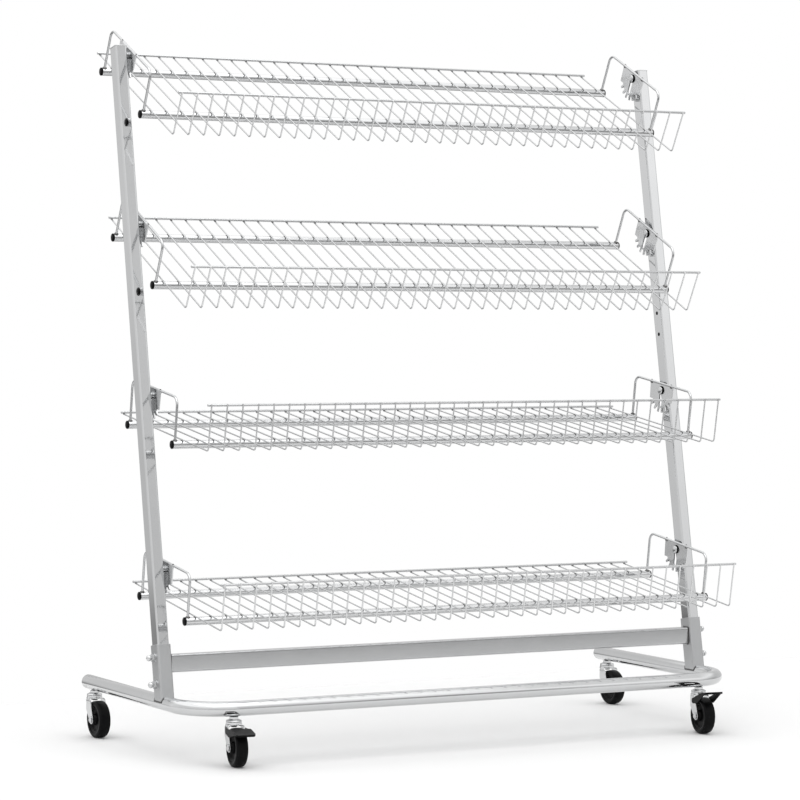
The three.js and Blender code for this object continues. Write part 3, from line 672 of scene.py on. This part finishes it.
# Edge points round the outside of the plate, and the same with each finger cut back to its root's chord
def plateOutlines():
    half, pitch = plate["length"] / 2, math.radians(plate["pitch"])
    reach = (plate["fingers"] - 1) * pitch / 2

    def polar(radius, angle):
        return radius * np.stack([np.sin(angle), -np.cos(angle)], -1)

    middles = np.arange(plate["fingers"]) * pitch - reach
    root, tip = (np.arcsin(plate["fingerWidth"] / 2 / plate[key]) for key in ("ring", "tip"))
    fingers = np.stack([polar(plate["ring"], middles - root), polar(plate["tip"], middles - tip),
                        polar(plate["tip"], middles + tip), polar(plate["ring"], middles + root)], 1)
    chords = fingers[:, :1] + np.linspace(0, 1, 4)[:, None] * (fingers[:, 3:] - fingers[:, :1])
    ends = polar(plate["ring"], np.array([-1, 1]) * (reach + pitch / 2))
    low, top = -plate["shoulder"], plate["belowLoop"] + loop["radius"] * plate["overlap"]
    corner = half - plate["cornerInset"]
    bounds = np.vstack([ends[1:], [(corner, low), (half, top), (-half, top), (-corner, low)], ends[:1]])
    run = np.append(0, np.cumsum(np.linalg.norm(np.diff(bounds, axis=0), axis=1)))
    stops = np.union1d(run, np.arange(0, run[-1], plate["gap"]))
    border = np.stack([np.interp(stops, run, bounds[:, axis]) for axis in (0, 1)], -1)
    return (np.vstack([border, rows.reshape(-1, 2)]) for rows in (fingers, chords))


# The loop is a circle carried along a bent line. The plate runs on both faces from the slot, a rounded
# line of even width, through an inner ring to the edge
def addShelfEnd(tier, place, label, side):
    x = side * (tubeHalf - loop["inset"])
    foot = railTube["radius"] - shelf["sink"]
    corners = place.at(np.full(4, x), np.array([0.0, 0.0, place.gauge, place.gauge]),
                       np.array([foot, loop["height"], loop["height"], foot]))
    path = bentLine(corners, loop["bend"], loop["bendSteps"])
    wire = ringPart(sweep(path, roundOutline(loop["radius"], loop["sides"]), xAxis))
    edge, rim = plateOutlines()
    spine = np.stack([0 * rim[:, 0], np.clip(rim[:, 1], -plate["slotLong"], 0)], -1)
    slot = spine + plate["slot"] * unit(rim - spine)
    inner = slot + plate["band"] * (rim - slot)
    pivot = pivots[tier - 1]
    faces = [(plateNear, outline) for outline in (slot, inner, edge)]
    faces += [(plateFar, outline) for outline in (edge, inner, slot)]
    rings = [offset(pivot + xAxis * side * level, (outline[:, 0], -place.ahead), (outline[:, 1], place.up))
             for level, outline in faces]
    body = f"shelf_{tier}"
    addPiece(f"{body}_loop_{label}", [wire], body, "wire", [f"{body}_end_{label}"])
    addPiece(f"{body}_finger_plate_{label}", [ringPart(np.stack(rings), hollow=True)], body, "plate",
             sharp=plate["sharp"], bevel=plate["bevel"])
    middle = float((pivot - place.origin) @ place.ahead)
    onTube = railTube["radius"] - spotWelds["loopFoot"]["sink"]
    welds = [nugget("loopFoot", place.at(x, a, onTube), place.up, place.ahead) for a in (0.0, place.gauge)]
    tackX, tackB = x + side * spotWelds["tack"]["out"], loop["height"] - spotWelds["tack"]["sink"]
    reach = plate["tackReach"] * plate["length"]
    welds += [nugget("tack", place.at(tackX, a, tackB), -side * xAxis, place.up)
              for a in (middle - reach, middle + reach)]
    addPiece(f"{body}_end_welds_{label}", welds, body, "weld")


# Round-headed studs that the plates hang on: shoulder, neck through the slot, a black ring that paints the
# shadow gap under the head (painted shade), domed head
stud = {"shoulder": 0.008, "sink": 0.0002, "gap": 0.0004, "play": 0.0008, "neck": 0.004, "shadeRing": 0.0090,
        "shadeRingHigh": 0.0020, "edge": 0.0004, "head": 0.0082, "headHigh": 0.0052, "headEdge": 0.0005,
        "headFoot": 0.0008, "headSteps": 8, "sides": 32}


# Stud and the black ring under its head are profiles turned about x, inwards from the post's inner face
def addStud(tier, label, side):
    seat = pivots[tier - 1] + xAxis * side * postFace
    shoulder = postFace - plateFar - stud["gap"]
    neck = shoulder + plate["thick"] + stud["play"]
    low, high = neck + stud["shadeRingHigh"], neck + stud["headHigh"]
    foot = low + stud["headFoot"]
    wide, edge = stud["shadeRing"], stud["edge"]
    rows = [(stud["shoulder"], -stud["sink"]), (stud["shoulder"], shoulder), (stud["neck"], shoulder),
            (stud["neck"], low), (stud["head"] - edge, low), (stud["head"], low + stud["headEdge"])]
    rows = np.vstack([rows, domeRows(stud["head"], foot, high - foot, stud["headSteps"])[1:]])
    whole = turned(rows, seat, -side * xAxis, upPost, stud["sides"])
    addPiece(f"shelf_{tier}_hanger_stud_{label}", [whole], "frame", "tube", [f"shelf_{tier}_stud_{label}"])
    ring = [(stud["neck"], neck), (wide - edge, neck), (wide, neck + edge), (wide, low - edge),
            (wide - edge, low), (stud["neck"], low)]
    # Black ring under the head: painted shade for the shadow gap between head and plate
    shadeRing = turned(ring, seat, -side * xAxis, upPost, stud["sides"], hollow=True)
    addPiece(f"shelf_{tier}_stud_shade_ring_{label}", [shadeRing], "frame", "plastic")


# Castor axes: across the wheel, back and up, from the swivel axis on the floor
class CastorFrame:
    def __init__(self, name):
        self.foot = jointPlace[f"castor_{name}_swivel"] * np.array([1, 1, 0])
        self.axle = jointPlace[f"castor_{name}_roll"]
        self.across = unit(jointAxis[f"castor_{name}_roll"])
        self.axes = np.array([self.across, np.cross(zAxis, self.across), zAxis])

    def at(self, points):
        return self.foot + points @ self.axes


def addCastor(name):
    place = CastorFrame(name)
    addCastorHead(name, place)
    addFork(name, place)
    addAxle(name, place)
    addWheel(name, place)


# Castor head, fixed to the base: a cap and a king pin as (radius, height) rows, and a nut under the tube
castorHead = {"cap": [(0.004, 0.0849), (0.0149, 0.0849), (0.0155, 0.0854), (0.0155, 0.0865),
                      (0.0147, 0.0875), (0.01209, 0.0885), (0.01023, 0.0894), (0.004, 0.0894)],
              "pin": [(0.0035, 0.0741), (0.0062, 0.0743), (0.0065, 0.0750), (0.0065, 0.0768),
                      (0.0040, 0.0771), (0.0040, 0.0894)],
              "nut": 0.017, "nutLow": 0.0894, "nutHigh": 0.094, "capSides": 40, "pinSides": 20}


# Cap and pin are turned about the swivel axis
def addCastorHead(name, place):
    nut = (castorHead[key] for key in ("nut", "nutLow", "nutHigh"))
    parts = [turned(castorHead["cap"], place.foot, zAxis, xAxis, castorHead["capSides"], hollow=True),
             hexPart(place.foot, zAxis, xAxis, *nut),
             turned(castorHead["pin"], place.foot, zAxis, xAxis, castorHead["pinSides"])]
    addPiece(f"castor_{name}_head", parts, "frame", "tube", [f"castor_{name}_stem"])


# Fork: a strip of sheet bent over the wheel, with a round foot at the axle. The arm's steps are shares of
# that foot's radius above the axle; the race is the turned disc and bearing on the fork's crown
fork = {"axle": 0.0375, "trail": 0.022, "crown": 0.0800, "sheet": 0.0025, "edge": 0.0006, "armX": 0.01575,
        "rear": 0.004, "front": 0.015, "rearDrop": 0.0560, "foot": 0.009, "footStart": 0.05,
        "footSteps": 8, "armSteps": [0.6, 1.2, 2.1, 3.0, 4.0], "bend": 0.004, "bendSteps": 8,
        "race": [(0.0044, 0.0775), (0.0160, 0.0775), (0.0165, 0.0780), (0.0165, 0.0795), (0.0161, 0.0800),
                 (0.0149, 0.0803), (0.0155, 0.0810), (0.0155, 0.0837), (0.0147, 0.0845), (0.0044, 0.0845)],
        "raceSides": 40}


# The strip's section runs up one arm, over the crown and down the other. Below the axle its front and rear
# edges are a circle's; above it the front tapers and the rear slants to its full depth
def addFork(name, place):
    armX, foot, axleZ, trail = fork["armX"], fork["foot"], fork["axle"], fork["trail"]
    mid = fork["crown"] - fork["sheet"] / 2
    line = bentLine([(-armX, axleZ - foot), (-armX, mid), (armX, mid), (armX, axleZ - foot)], fork["bend"],
                    fork["bendSteps"])
    turn = np.linspace(fork["footStart"], np.pi / 2, fork["footSteps"] + 1)
    steps = np.concatenate([-np.cos(turn), fork["armSteps"]])
    left = np.column_stack([np.full(len(steps), -armX), axleZ + foot * steps])
    path = np.vstack([left, line[1:-1], (left * [-1, 1])[::-1]])
    z = path[:, 1]
    sag = np.sqrt(np.maximum(0, foot ** 2 - (np.minimum(z, axleZ) - axleZ) ** 2))
    eighth = foot * math.sqrt(0.5)
    slant = np.interp(z, [axleZ - eighth, fork["rearDrop"]], [eighth - trail, fork["rear"]])
    rear = np.where(z < axleZ - eighth, sag - trail, slant)
    taper = np.interp(z, [axleZ, fork["crown"]], [-trail - foot, -fork["front"]])
    front = np.where(z < axleZ, -trail - sag, taper)
    along = pathDirection(path)
    normal = np.column_stack([along[:, 1], -along[:, 0]])
    half, edge = fork["sheet"] / 2, fork["edge"]
    lift = np.array([half, half, half - edge, edge - half, -half, -half, edge - half, half - edge])
    points = np.zeros((len(path), len(lift), 3))
    points[..., 0] = path[:, None, 0] + normal[:, None, 0] * lift
    inFront, inRear = front + edge, rear - edge
    points[..., 1] = np.stack([inFront, inRear, rear, rear, inRear, inFront, front, front], 1)
    points[..., 2] = path[:, None, 1] + normal[:, None, 1] * lift
    race = turned(fork["race"], place.foot, zAxis, xAxis, fork["raceSides"], hollow=True)
    addPiece(f"castor_{name}_pressed_fork", [ringPart(place.at(points)), race], f"castor_{name}", "tube",
             [f"castor_{name}_fork"])


# Axle bolt: rows of (radius, distance outside the arm) of its head, and a nut on the other arm
axle = {"head": [(0.0016, 0.0039), (0.0050, 0.0033), (0.0068, 0.0018), (0.0068, 0.0004), (0.0040, 0.0)],
        "shank": 0.0040, "short": 0.001, "nut": 0.012, "nutLow": 0.0002, "nutHigh": 0.0037, "sides": 24}


# The bolt's profile is turned about the wheel's axis, head first
def addAxle(name, place):
    out = fork["armX"] + fork["sheet"] / 2
    rows = [(radius, -out - beyond) for radius, beyond in axle["head"]]
    rows.append((axle["shank"], out - axle["short"]))
    parts = [turned(rows, place.axle, place.across, zAxis, axle["sides"]),
             hexPart(place.axle, place.across, zAxis, axle["nut"], out + axle["nutLow"],
                     out + axle["nutHigh"])]
    addPiece(f"castor_{name}_axle_bolt", parts, f"castor_{name}", "plate", [f"castor_{name}_axle"])


# Wheel: a rubber tyre with a crowned tread, round shoulders and a face, and a moulded centre with a hub,
# a thin web and a rim, as rows of (radius, distance from the wheel's middle)
wheel = {"radius": 0.0375, "half": 0.012, "crown": 0.0005, "round": 0.0045, "shoulderSteps": 6,
         "treadSteps": 8, "face": [(0.0275, 0.0108), (0.0287, 0.0118)],
         "bed": [(0.0271, -0.008), (0.0271, 0.008)],
         "centre": [(0.0044, 0.0141), (0.0099, 0.0141), (0.0105, 0.0135), (0.0117, 0.0070),
                    (0.0135, 0.0060), (0.0215, 0.0068), (0.0241, 0.0106), (0.0274, 0.0102)],
         "tyreSides": 64, "centreSides": 48}
mirrored = np.array([1, -1])  # turns (radius, distance) rows to the wheel's other side


# The tread falls by the square of the distance from the middle; each shoulder is a quarter circle
def addWheel(name, place):
    radius, half, rounding, crown = wheel["radius"], wheel["half"], wheel["round"], wheel["crown"]
    arc = np.linspace(0, np.pi / 2, wheel["shoulderSteps"] + 1)
    shoulder = np.column_stack([radius - crown - rounding * (1 - np.sin(arc)),
                                half - rounding * (1 - np.cos(arc))])
    t = np.linspace(1, -1, wheel["treadSteps"] + 1)[1:-1]
    tread = np.column_stack([radius - crown * t * t, t * (half - rounding)])
    flank = np.vstack([wheel["face"], shoulder])
    outer = np.vstack([flank, tread, (flank * mirrored)[::-1], wheel["bed"]])
    rubber = turned(outer, place.axle, place.across, zAxis, wheel["tyreSides"], hollow=True)
    addPiece(f"castor_{name}_tyre", [rubber], f"wheel_{name}", "rubber", [f"castor_{name}_wheel"])
    profile = np.vstack([wheel["centre"], (wheel["centre"] * mirrored)[::-1]])
    centre = turned(profile, place.axle, place.across, zAxis, wheel["centreSides"], hollow=True)
    addPiece(f"castor_{name}_wheel_centre", [centre], f"wheel_{name}", "plastic")


# Brake pedal: a rising plate over the tyre and a tapering cheek outside each fork arm; angles in degrees
pedal = {"thick": 0.004, "rear": -0.042, "tip": -0.0788, "tipLong": 0.008, "half": 0.0194,
         "tipHalf": 0.013, "underside": 0.0825, "rise": 9.0, "travel": 20.0, "pressed": "left",
         "stations": 33, "corner": 0.0014, "cornerSteps": 4, "cheek": 0.002, "ear": 0.006, "earSteps": 8,
         "heel": (-0.032, 0.064), "gap": 0.002, "bevel": 0.0004}


# Height of the plate's middle, a straight rise towards the tip
def pedalLevel(y):
    rise = math.tan(math.radians(pedal["rise"]))
    return pedal["underside"] + (pedal["rear"] - y) * rise + pedal["thick"] / 2


# Cheek outline: the ear round the pivot, the edge of the plate, the heel below
def cheekOutline(hinge):
    arc = np.linspace(-np.pi / 2, np.pi / 4, pedal["earSteps"] + 1)
    ear = hinge[1:] + pedal["ear"] * np.stack([np.cos(arc), np.sin(arc)], -1)
    top = [(y, pedalLevel(y)) for y in (pedal["rear"], pedal["tip"] + pedal["tipLong"])]
    return spaced(np.vstack([ear, top, [pedal["heel"]]]), pedal["gap"])


# The plate is a rounded slat at stations from the rear to the tip, its width an ellipse near the tip.
# Plate and cheeks are turned together about the pivot
def addPedal(label):
    place = CastorFrame(f"front_{label}")
    hinge = (jointPlace[f"brake_pedal_{label}_press"] - place.foot) @ place.axes.T
    press = math.radians(pedal["travel"] if label == pedal["pressed"] else 0.0)
    cos, sin = math.cos(press), math.sin(press)
    turn = np.array([[1, 0, 0], [0, cos, -sin], [0, sin, cos]])

    def placed(points):
        return place.at(hinge + (points - hinge) @ turn.T)

    y = np.linspace(pedal["rear"], pedal["tip"], pedal["stations"])
    toTip = np.clip((y - pedal["tip"]) / pedal["tipLong"], 0, 1)
    width = mix(np.sqrt(1 - (1 - toTip) ** 2), pedal["tipHalf"], pedal["half"])
    slat = boxOutline(2.0, pedal["thick"], pedal["corner"], pedal["cornerSteps"])
    points = np.zeros((len(y), len(slat), 3))
    points[..., 0] = width[:, None] * slat[:, 0]
    points[..., 1] = y[:, None]
    points[..., 2] = pedalLevel(y)[:, None] + slat[:, 1]
    parts = [ringPart(placed(points))]
    outline = cheekOutline(hinge)
    for side in sideSigns.values():
        rings = np.zeros((2, len(outline), 3))
        rings[..., 0] = side * (pedal["half"] - np.array([[pedal["cheek"]], [0.0]]))
        rings[..., 1:] = outline
        parts.append(ringPart(placed(rings)))
    addPiece(f"brake_lever_{label}", parts, f"pedal_{label}", "plastic", [f"brake_pedal_{label}"],
             bevel=pedal["bevel"])


# Studio: a pale floor that ends a little before and behind the rack, and one soft light above
floorLook = {"shade": 0.70, "speck": 0.01, "noise": (3.0, 2.0), "rough": 0.9, "front": -1.65, "rear": 0.80,
             "side": 3.0}
lampLook = {"power": 60.0, "size": 4.5, "place": (-0.6, -1.2, 4.2), "tilt": (14, -8, 0)}
# Room: brightness by the direction's x component, in front and behind, low and high, and in the dome.
# A blend is the span of the z component over which one ramp gives way to the next, aheadBlend of the y
room = {"frontLow": [(-1.0, 0.90), (0.32, 0.90), (0.43, 0.60), (0.487, 0.42), (0.52, 0.60), (0.54, 0.92),
                     (0.57, 1.0), (1.0, 0.60)],
        "frontHigh": [(-1.0, 1.00), (0.28, 1.00), (0.34, 0.78), (0.385, 0.76), (0.43, 1.10), (0.525, 1.30),
                      (0.8, 1.2), (1.0, 0.8)],
        "rear": [(-1.0, 0.9), (-0.60, 1.0), (-0.50, 0.94), (-0.38, 0.82), (0.0, 0.74), (1.0, 0.74)],
        "rearLow": [(-1.0, 0.4), (-0.60, 0.12), (-0.50, 0.12), (-0.42, 0.45), (-0.36, 0.58), (1.0, 0.60)],
        "dome": [(-1.0, 1.5), (0.485, 1.5), (0.51, 1.0), (0.56, 0.95), (1.0, 1.5)],
        "groundFront": 0.36, "groundRear": 0.85, "seen": 1.0,
        "highBlend": (0.16, 0.36), "domeBlend": (0.42, 0.62), "lowBlend": (-0.105, -0.080),
        "horizonBlend": (-0.03, 0.02), "aheadBlend": (-0.25, 0.25)}


# A single face, from the front edge to the rear edge
def addFloor():
    side, front, rear = floorLook["side"], floorLook["front"], floorLook["rear"]
    mesh = bpy.data.meshes.new("floor")
    corners = [(-side, front, 0), (side, front, 0), (side, rear, 0), (-side, rear, 0)]
    mesh.from_pydata(corners, [], [(0, 1, 2, 3)])
    floor = bpy.data.objects.new("floor", mesh)
    bpy.context.scene.collection.objects.link(floor)
    material, shader, tool, place = startMaterial("pale_floor", 0.0)
    shade = floorLook["shade"]
    speck = noiseOf(tool, place, *floorLook["noise"])
    colour = mixColours(tool, speck, (shade,) * 3, (shade + floorLook["speck"],) * 3)
    tool.feed(shader.inputs["Base Color"], colour)
    shader.inputs["Roughness"].default_value = floorLook["rough"]
    mesh.materials.append(material)


# Front and rear ramps under a dome, and darker ground past the floor; plain white where the camera sees it
def addRoom():
    world = bpy.data.worlds.new("studio")
    world.use_nodes = True
    bpy.context.scene.world = world
    tool = Sock(world.node_tree)
    direction = tool.make("ShaderNodeTexCoord", pick="Generated")
    x, y, z = (tool.make("ShaderNodeSeparateXYZ", {}, {"Vector": direction}, pick=k) for k in range(3))

    def blend(value, key):
        low, high = room[key]
        span = {0: value, 1: low, 2: high}
        return tool.make("ShaderNodeMapRange", {"interpolation_type": "SMOOTHSTEP"}, span)

    def ramp(key):
        stops = [(place * 0.5 + 0.5, shade) for place, shade in room[key]]
        return tool.make("ShaderNodeValToRGB", {"stops": stops}, {"Fac": x * 0.5 + 0.5})

    front = mix(blend(z, "highBlend"), ramp("frontLow"), ramp("frontHigh"))
    ahead = blend(y, "aheadBlend")
    rear = ramp("rear")
    sky = mix(blend(z, "domeBlend"), mix(ahead, front, rear), ramp("dome"))
    low = mix(blend(z, "lowBlend"), ramp("rearLow"), 1.0)
    ground = mix(ahead, room["groundFront"], rear * low * room["groundRear"])
    light = mix(blend(z, "horizonBlend"), ground, sky)
    seen = tool.make("ShaderNodeLightPath", pick="Is Camera Ray")
    tool.feed(world.node_tree.nodes["Background"].inputs["Color"], mix(seen, light, room["seen"]))


def addLamp():
    lamp = bpy.data.objects.new("overhead", bpy.data.lights.new("overhead", "AREA"))
    lamp.data.energy, lamp.data.size = lampLook["power"], lampLook["size"]
    lamp.location = lampLook["place"]
    lamp.rotation_euler = [math.radians(angle) for angle in lampLook["tilt"]]
    bpy.context.scene.collection.objects.link(lamp)


addCamera()
addFloor()
addRoom()
addLamp()
print("camera and studio set")
addBase()
addBeam()
for label, side in sideSigns.items():
    addPost(label, side)
    addSleeve(label, side)
    addBolts(label, side)
print("frame dressed")
for tier in tiers:
    place = ShelfFrame(tier)
    addShelfWires(tier, place)
    addShelfTubes(tier, place)
    for label, side in sideSigns.items():
        addShelfEnd(tier, place, label, side)
        addStud(tier, label, side)
print("shelves dressed")
for name in castorNames:
    addCastor(name)
for label in sideSigns:
    addPedal(label)
print("castors dressed")
